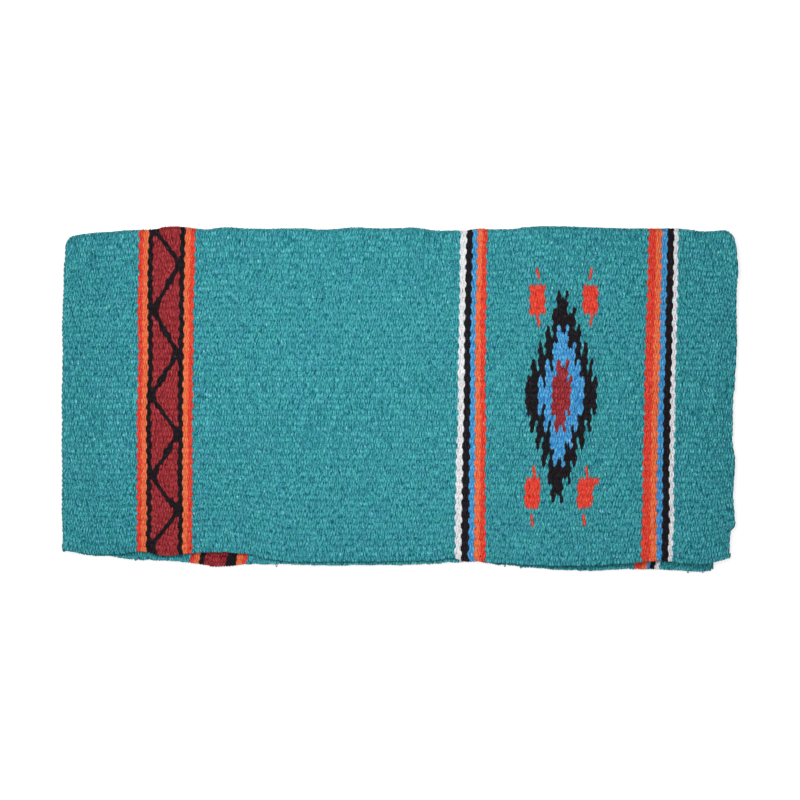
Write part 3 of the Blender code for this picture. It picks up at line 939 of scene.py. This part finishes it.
def wool(name, hue_change, deep, mid, light, pale):
    """Matt wool yarn: fibre streaks, a tint for each float, pale flecks, twist, fuzz and painted shade.
    """
    material = bpy.data.materials.new("yarn_" + name)
    tree = Tree(material)
    place = tree.add("UVMap", uv_map="yarn").outputs["UV"]
    stretched = tree.add("VectorMath", {0: place, 1: STREAK_STRETCH}, operation="MULTIPLY")
    streak = tree.noise(stretched.outputs[0], 1.0, 2.0, 0.7)
    spot = tree.add("TexCoord").outputs["Object"]
    patch = tree.noise(spot, 14.0, 3.0)
    grain = tree.noise(spot, 520.0, 1.0)
    dye = tree.noise(spot, 60.0, 3.0, 0.75)
    turned = tree.add("VectorMath", {0: place, 1: TWIST_TURNS}, operation="DOT_PRODUCT")
    # The plies' twist bumps the yarn, and in the colour it paints shade into the grooves between the
    # plies.
    twist = tree.maths("SINE", turned.outputs["Value"])

    shade = tree.swing(0.48, streak, 3.8)
    tint = tree.attribute("tint")
    crest = tree.attribute("crest")
    # Painted shade: the crest value darkens the yarn where it dips between rows and lightens its tops.
    for value, amount in ((twist, 0.04), (tint, 0.020), (crest, 0.135)):
        shade = tree.maths("MULTIPLY_ADD", value, amount, shade)
    for value, amount in ((patch, 0.08), (grain, 0.9)):
        shade = tree.swing(shade, value, amount)
    ramp = tree.add("ValToRGB", {0: shade})
    stops = ramp.color_ramp.elements
    stops.new(0.5)
    for stop, position, colour in zip(stops, (0.12, 0.5, 0.88), (deep, mid, light), strict=True):
        stop.position = position
        stop.color = (*colour, 1)
    change = tree.swing(0.5, dye, hue_change)
    dyed = tree.add("HueSaturation", {"Hue": change, "Color": ramp.outputs["Color"]})
    colours = {"Factor": tree.attribute("fleck"), "A": dyed.outputs["Color"], "B": (*pale, 1)}
    flecked = tree.add("Mix", colours, data_type="RGBA")
    relief = tree.maths("MULTIPLY_ADD", twist, 0.30, tree.maths("MULTIPLY", streak, 1.6))
    bump = tree.add("Bump", {"Strength": 0.55, "Distance": 0.00030, "Height": relief})
    looks = {
        "Base Color": flecked.outputs["Result"],
        "Normal": bump.outputs["Normal"],
        "Roughness": tree.maths("ADD", 0.80, tree.maths("MULTIPLY", streak, 0.22)),
        "Specular IOR Level": 0.22,
        "Sheen Weight": 0.25,
        "Sheen Roughness": 0.55,
        "Sheen Tint": (*light, 1),
    }
    tree.fill(tree.nodes["Principled BSDF"], looks)
    return material


def linear(red, green, blue):
    """Linear colour from 8-bit sRGB."""
    values = (v / 255 for v in (red, green, blue))
    return tuple(v / 12.92 if v <= 0.04045 else ((v + 0.055) / 1.055) ** 2.4 for v in values)


# Each wool's change of hue from place to place, then its darkest, middle and lightest colour, the
# colour of its pale flecks, and the painted shade on the warps under it: the weft's colour in shade,
# which shows in the gaps between floats
WOOLS = {
    "teal": (0.070, (0, 86, 100), (36, 149, 161), (100, 200, 208), (172, 247, 252), (36, 116, 126)),
    "red": (0.012, (200, 40, 34), (240, 64, 54), (255, 104, 78), (255, 160, 130), (170, 44, 38)),
    "orange": (0.012, (222, 84, 44), (252, 114, 68), (255, 152, 104), (255, 190, 150), (190, 84, 48)),
    "black": (0, (10, 8, 10), (24, 20, 24), (46, 40, 48), (84, 88, 96), (20, 16, 20)),
    "maroon": (0.012, (106, 20, 28), (158, 42, 49), (196, 74, 80), (216, 120, 122), (108, 30, 34)),
    "blue": (0.02, (24, 104, 170), (58, 156, 218), (112, 198, 246), (208, 234, 250), (60, 120, 170)),
    "white": (0, (176, 178, 188), (252, 253, 255), (255, 255, 255), (255, 255, 255), (190, 192, 198)),
}
wools = {}
for wool_name, (hue_change, *shades, _) in WOOLS.items():
    wools[wool_name] = wool(wool_name, hue_change, *(linear(*shade) for shade in shades))

# The sheet of warps: how deep it lies in the cloth, its thickness, and the picks between its columns
WARP_DEPTH = 0.0007
WARP_HALF_THICKNESS = 0.00020
WARP_RIB = 0.00008
SHEET_STEP = 9


def warp_shade_material():
    """The hidden warps, painted with the shaded colour of the weft, seen in the gaps between floats."""
    material = bpy.data.materials.new("yarn_warp")
    tree = Tree(material)
    spot = tree.add("TexCoord").outputs["Object"]
    stretched = tree.add("Mapping", {"Vector": spot, "Scale": WARP_STRETCH})
    grain = tree.noise(stretched.outputs["Vector"], 1.0, 3.0, 0.5)
    dye = tree.attribute("dye", "Color")
    shade = tree.add("VectorMath", {0: dye, "Scale": grain}, operation="SCALE")
    bump = tree.add("Bump", {"Strength": 0.5, "Distance": 0.0003, "Height": grain})
    looks = {
        "Base Color": shade.outputs["Vector"],
        "Normal": bump.outputs["Normal"],
        "Roughness": 0.95,
        "Specular IOR Level": 0.15,
    }
    tree.fill(tree.nodes["Principled BSDF"], looks)
    return material


# Weave every area of both halves and of the first fold
halves = {False: half_areas(False), True: half_areas(True)}
for is_inner, areas in halves.items():
    for order, (area_name, area_colour, area_picks) in enumerate(areas):
        at_woven_end = order == len(areas) - 1
        for area_side in ("upper", "lower", "bend"):
            weave_area(area_name, area_colour, area_picks, area_side, is_inner, at_woven_end)

fold = first_fold_picks()
for share, is_inner in ((fold.inner < 0.5, False), (fold.inner >= 0.5, True)):
    for area_side in ("upper", "lower", "bend"):
        weave_area("fold_field", "teal", fold.part(share), area_side, is_inner, False)

# Add the pulled wefts to their pieces
for place, reach in PULLED_YARNS:
    for area_name, _, area_picks in halves[True]:
        if area_picks.x.min() <= place <= area_picks.x.max():
            piece_name = piece_for(area_name, "second", True)
            ends = part_ends(area_picks)
            if len(ends) > 2:
                order = np.argmin(abs(area_picks.x - place))
                piece_name += f"_{np.searchsorted(ends, order, side='right')}"
            add_pulled_yarn(cloths[piece_name], area_picks, place, reach)


def body_of(node):
    """The half that a piece made for this CAD node rides on, or None for the wraps round the second
    fold.
    """
    if node.startswith(("top_", "second_", "upper_")):
        return "upper_half"
    if node.startswith(("bottom_", "third_", "lower_")):
        return "lower_half"
    return None


for piece_name, cloth in cloths.items():
    if cloth.count == 0:
        continue
    node = piece_name
    while node not in frame["nodes"] and "_" in node:
        node = node.rsplit("_", 1)[0]
    piece = cloth.make("weft_" + piece_name, wools)
    body = body_of(node)
    if body:
        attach(piece, body)
    elif node == "inner_wrap":
        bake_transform(piece)
    else:
        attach(piece, "lower_half")
        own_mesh(piece)
    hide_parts(node)


def ribbed_sheet(name, side, columns, shaded_wefts, material):
    """A thin closed sheet of warps, with a rib for each row. columns are the picks that it follows."""
    run = np.arange(0, ROWS["top"] * 2 + 2)[None, :] / 2
    up_or_down = 1 if side == "upper" else -1
    inner = columns.inner[:, None] + 0 * run
    rib = WARP_HALF_THICKNESS - WARP_RIB * np.cos(2 * math.pi * run)
    surfaces = []
    for out in (rib - WARP_DEPTH, -rib - WARP_DEPTH):
        x = columns.x[:, None] + out * columns.face_x[:, None]
        z = AXIS_Z + up_or_down * (columns.radius[:, None] + out * columns.face_r[:, None])
        surfaces.append(np.stack(displaced(x, AXIS_Y - run * ROW, z, side, inner), axis=-1))
    index = np.arange(inner.size).reshape(inner.shape)
    quads = quads_of(index)
    rim = np.concatenate([index[0, :], index[1:, -1], index[-1, -2::-1], index[-2:0:-1, 0]])
    following = np.roll(rim, -1)
    sides = np.stack([rim, rim + index.size, following + index.size, following], axis=-1)
    faces = np.concatenate([quads[:, [0, 3, 2, 1]], quads + index.size, sides])
    points = np.concatenate([surface.reshape(-1, 3) for surface in surfaces])
    mesh = bpy.data.meshes.new(name)
    mesh.from_pydata(points.tolist(), [], faces.tolist())
    mesh.polygons.foreach_set("use_smooth", np.ones(len(faces), dtype=bool))
    mesh.materials.append(material)
    mesh.update()
    # Painted shade: each column takes the weft's colour in shade, which shows in the gaps between
    # floats.
    attribute = mesh.attributes.new("dye", "FLOAT_COLOR", "POINT")
    colours = np.array([(*linear(*WOOLS[dye][-1]), 1) for dye in shaded_wefts])
    shades = np.repeat(colours, inner.shape[1], axis=0)
    attribute.data.foreach_set("color", np.tile(shades, (2, 1)).astype(np.float32).ravel())
    return new_object(name, mesh)


def thinned(picks):
    """One pick of every few, with the first and last."""
    chosen = sorted({*range(0, len(picks), SHEET_STEP), len(picks) - 1})
    return picks.part(np.array(chosen))


def joined(parts):
    """One run of picks from several."""
    return Picks(*(np.concatenate([getattr(p, field) for p in parts]) for field in PICK_FIELDS))


def sheet_course(areas):
    """The picks that the warp sheet follows over one half, and the weft's colour at each."""
    courses = [(thinned(picks), colour) for _, colour, picks in areas]
    colours = [colour for picks, colour in courses for _ in range(len(picks))]
    return joined([picks for picks, _ in courses]), colours


warp = warp_shade_material()
outer_line, outer_shaded_wefts = sheet_course(halves[False])
inner_line, inner_shaded_wefts = sheet_course(halves[True])
backwards = np.arange(len(outer_line))[::-1]
sheet_line = joined([outer_line.part(backwards), fold, inner_line])
sheet_shaded_wefts = outer_shaded_wefts[::-1] + ["teal"] * len(fold) + inner_shaded_wefts
for area_side, body in (("upper", "upper_half"), ("lower", "lower_half")):
    ground = ribbed_sheet("warps_" + area_side, area_side, sheet_line, sheet_shaded_wefts, warp)
    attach(ground, body)
    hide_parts(area_side + "_warps")

# Floor, light and camera
FLOOR_REACH = 4
FLOOR_DROP = 0.0004
FLOOR_GLOW = 0.70
WORLD_LEVEL = 0.24
# Each softbox's name, place, width and power
LAMPS = [("key", (-0.08, 0.14, 0.9), 0.5, 5.05), ("fill", (-0.06, 0.0, 1.2), 1.0, 3.1)]
CAMERA_DISTANCE = 2.6
VIEW_WIDTH = 0.9864
VIEW_CENTRE = (0.0020, -0.0031)
SENSOR_WIDTH = 36


def paper_floor():
    """A large sheet of white paper, which the camera sees a little lighter than it is."""
    corners = [(FLOOR_REACH * a, FLOOR_REACH * b, 0) for a, b in ((-1, -1), (1, -1), (1, 1), (-1, 1))]
    mesh = bpy.data.meshes.new("floor")
    mesh.from_pydata(corners, [], [(0, 1, 2, 3)])
    material = bpy.data.materials.new("floor_paper")
    tree = Tree(material)
    paper = tree.nodes["Principled BSDF"]
    tree.fill(paper, {"Base Color": (0.8, 0.8, 0.8, 1), "Roughness": 0.9})
    camera_ray = tree.add("LightPath").outputs["Is Camera Ray"]
    glow = tree.add("Emission", {"Strength": tree.maths("MULTIPLY", camera_ray, FLOOR_GLOW)})
    both = tree.add("AddShader", {0: paper.outputs[0], 1: glow.outputs[0]})
    tree.fill(tree.nodes["Material Output"], {"Surface": both.outputs[0]})
    mesh.materials.append(material)
    made = new_object("floor", mesh)
    made.location = (0, 0, -FLOOR_DROP)
    return made


def studio_world():
    """A dim white surround, which the camera sees as plain white."""
    made = bpy.data.worlds.new("studio")
    tree = Tree(made)
    camera_ray = tree.add("LightPath").outputs["Is Camera Ray"]
    strength = tree.maths("MAXIMUM", camera_ray, WORLD_LEVEL)
    tree.fill(tree.nodes["Background"], {"Color": (1, 1, 1, 1), "Strength": strength})
    return made


def area_light(name, place, size, power):
    """A square softbox aimed at the middle of the blanket."""
    light = bpy.data.lights.new(name, "AREA")
    light.size = size
    light.energy = power
    lamp = new_object(name, light)
    lamp.location = place
    length = math.sqrt(sum(v * v for v in place))
    round_z = math.atan2(place[1], place[0]) + math.pi / 2
    lamp.rotation_euler = (math.acos(place[2] / length), 0, round_z)


paper_floor()
bpy.context.scene.world = studio_world()
for lamp_name, lamp_place, lamp_size, lamp_power in LAMPS:
    area_light(lamp_name, lamp_place, lamp_size, lamp_power)

camera_data = bpy.data.cameras.new("camera")
camera_data.sensor_width = SENSOR_WIDTH
camera_data.lens = SENSOR_WIDTH * CAMERA_DISTANCE / VIEW_WIDTH
camera = new_object("camera", camera_data)
camera.location = (*VIEW_CENTRE, STACK_HEIGHT + CAMERA_DISTANCE)
bpy.context.scene.camera = camera
bpy.context.scene.view_settings.view_transform = "Standard"
